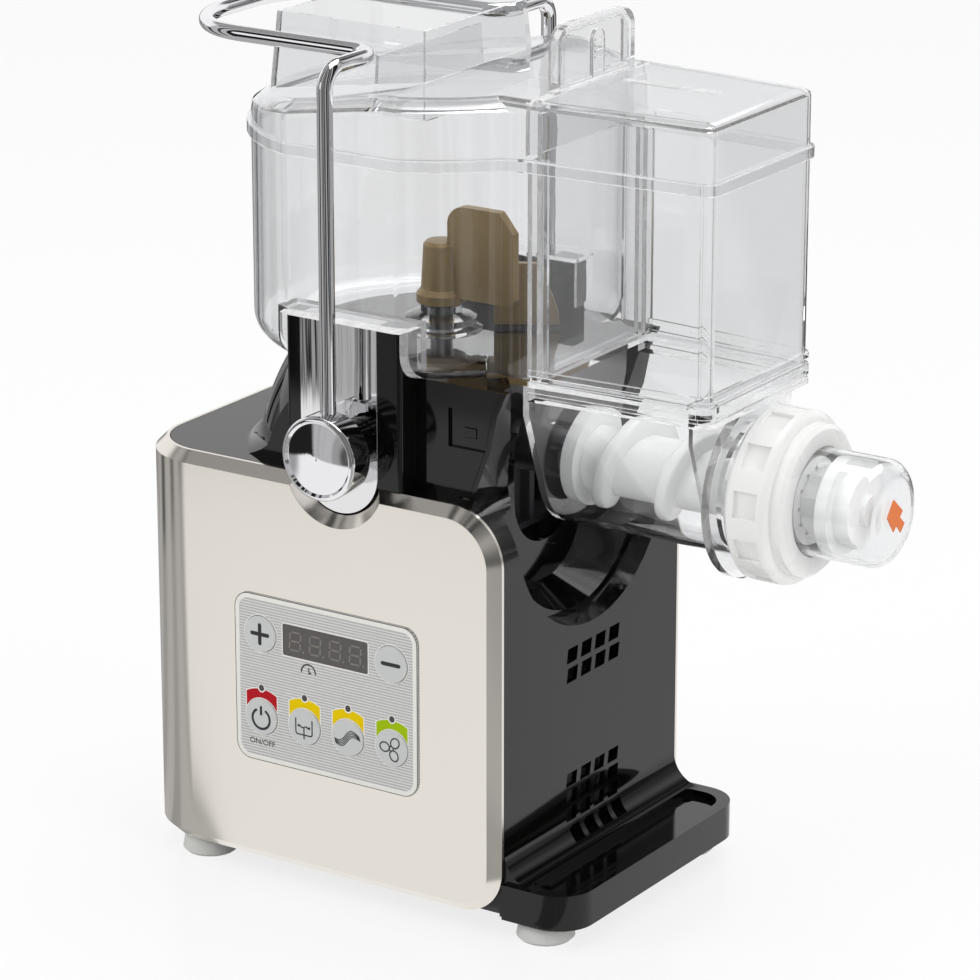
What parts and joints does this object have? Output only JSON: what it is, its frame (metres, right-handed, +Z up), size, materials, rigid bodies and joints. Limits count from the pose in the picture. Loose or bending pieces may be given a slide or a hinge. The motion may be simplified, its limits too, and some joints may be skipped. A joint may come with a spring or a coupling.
{
  "type": "electric pasta maker",
  "caption": "Steel clad kitchen machine that kneads dough in a clear lidded bowl and presses it through a horizontal auger extruder with a screw-on die.",
  "frame": {"origin": "centre of the bounding box in plan, at the worktop under the feet", "axes": "+Z up, +X towards the extruder outlet, -Y towards the control panel"},
  "size_m": [0.3626, 0.2008, 0.414],
  "materials": {
    "steel": "polished champagne steel",
    "black": "high gloss black",
    "rubber": "soft, light grey",
    "dark_metal": "zinc plated",
    "chrome": "polished",
    "panel": "printed film, satin",
    "smoked": "smoked window",
    "digits": "unlit digits",
    "lamp": "small lamp",
    "board": "circuit board",
    "key": "satin white key",
    "clear": "clear plastic",
    "bronze": "bronze coloured plastic",
    "white": "white plastic",
    "nut_white": "milky white plastic",
    "orange": "orange print",
    "gear": "moulded gear plastic",
    "bush": "sintered bush",
    "grey": "moulded inner parts",
    "motor": "motor can"
  },
  "bodies": {
    "base": {"side_shell": "steel", "front_housing": "black", "top_cover": "black", "base_plate": "grey", "rubber_feet": "rubber", "base_screws": "dark_metal", "near_inlay": "chrome", "far_inlay": "chrome", "cord_gland": "grey", "control_overlay": "panel", "display_lens": "smoked", "digit_module": "digits", "led_lights": "lamp", "circuit_board": "board", "board_frame": "grey", "safety_switch": "grey", "pivot_posts": "dark_metal", "kneading_bowl": "clear", "spindle_bush": "bush", "extruder_barrel": "clear", "gear_frame": "grey", "motor_body": "motor", "blower_frame": "grey"},
    "bail": {"bail_wire": "chrome", "near_knob": "chrome", "far_knob": "chrome"},
    "lid": {"bowl_lid": "clear"},
    "gate": {"gate_plate": "clear"},
    "mixer": {"spindle": "dark_metal", "paddle": "bronze", "drive_gear": "gear", "spindle_bevel": "gear"},
    "screw": {"auger": "white", "auger_coupling": "dark_metal", "auger_bevel": "gear"},
    "rotor": {"motor_rotor": "dark_metal", "motor_fan": "grey"},
    "cap": {"die_cap": "clear", "cap_arrow": "orange", "die_disc": "white", "die_holder": "white"},
    "nut": {"ring_nut": "nut_white"},
    "blower": {"blower_fan": "grey"},
    "latch": {"latch_button": "grey"},
    "key_plus_body": {"key_plus": "key"},
    "key_minus_body": {"key_minus": "key"},
    "key_power_body": {"key_power": "key"},
    "key_knead_body": {"key_knead": "key"},
    "key_extrude_body": {"key_extrude": "key"},
    "key_blow_body": {"key_blow": "key"}
  },
  "joints": [
    {"name": "bail_swing", "type": "hinge", "parent": "base", "child": "bail", "pos_m": [-0.05715, 0, 0.221], "axis": [0, -1, 0], "range_deg": [0, 90]},
    {"name": "lid_lift", "type": "slide", "parent": "base", "child": "lid", "axis": [0, 0, 1], "range_m": [0, 0.006]},
    {"name": "gate_lift", "type": "slide", "parent": "lid", "child": "gate", "axis": [0, 0, 1], "range_m": [0, 0.09]},
    {"name": "mixer_turn", "type": "hinge", "parent": "base", "child": "mixer", "pos_m": [-0.05715, 0, 0.23], "axis": [0, 0, 1], "continuous": true},
    {"name": "screw_turn", "type": "hinge", "parent": "base", "child": "screw", "pos_m": [0.00285, 0, 0.2105], "axis": [1, 0, 0], "continuous": true},
    {"name": "rotor_turn", "type": "hinge", "parent": "base", "child": "rotor", "pos_m": [-0.09315, 0, 0.13], "axis": [0, 0, 1], "continuous": true},
    {"name": "cap_slide", "type": "slide", "parent": "base", "child": "cap", "axis": [1, 0, 0], "range_m": [0, 0.024]},
    {"name": "nut_turn", "type": "hinge", "parent": "cap", "child": "nut", "pos_m": [0.11285, 0, 0.2105], "axis": [1, 0, 0], "range_deg": [0, 720]},
    {"name": "blower_turn", "type": "hinge", "parent": "base", "child": "blower", "pos_m": [0.00885, 0, 0.05], "axis": [1, 0, 0], "continuous": true},
    {"name": "latch_press", "type": "slide", "parent": "base", "child": "latch", "axis": [0, 1, 0], "range_m": [0, 0.0012], "stiffness_N_per_m": 300, "springref_m": -0.0004},
    {"name": "key_plus_press", "type": "slide", "parent": "base", "child": "key_plus_body", "axis": [0, 1, 0], "range_m": [0, 0.0006], "stiffness_N_per_m": 500, "springref_m": -0.0004},
    {"name": "key_minus_press", "type": "slide", "parent": "base", "child": "key_minus_body", "axis": [0, 1, 0], "range_m": [0, 0.0006], "stiffness_N_per_m": 500, "springref_m": -0.0004},
    {"name": "key_power_press", "type": "slide", "parent": "base", "child": "key_power_body", "axis": [0, 1, 0], "range_m": [0, 0.0006], "stiffness_N_per_m": 500, "springref_m": -0.0004},
    {"name": "key_knead_press", "type": "slide", "parent": "base", "child": "key_knead_body", "axis": [0, 1, 0], "range_m": [0, 0.0006], "stiffness_N_per_m": 500, "springref_m": -0.0004},
    {"name": "key_extrude_press", "type": "slide", "parent": "base", "child": "key_extrude_body", "axis": [0, 1, 0], "range_m": [0, 0.0006], "stiffness_N_per_m": 500, "springref_m": -0.0004},
    {"name": "key_blow_press", "type": "slide", "parent": "base", "child": "key_blow_body", "axis": [0, 1, 0], "range_m": [0, 0.0006], "stiffness_N_per_m": 500, "springref_m": -0.0004}
  ],
  "couplings": [
    {"joint": "screw_turn", "follows": "mixer_turn", "ratio": 1},
    {"joint": "rotor_turn", "follows": "mixer_turn", "ratio": -5},
    {"joint": "cap_slide", "follows": "nut_turn", "m_per_rad": 0.0019099}
  ]
}
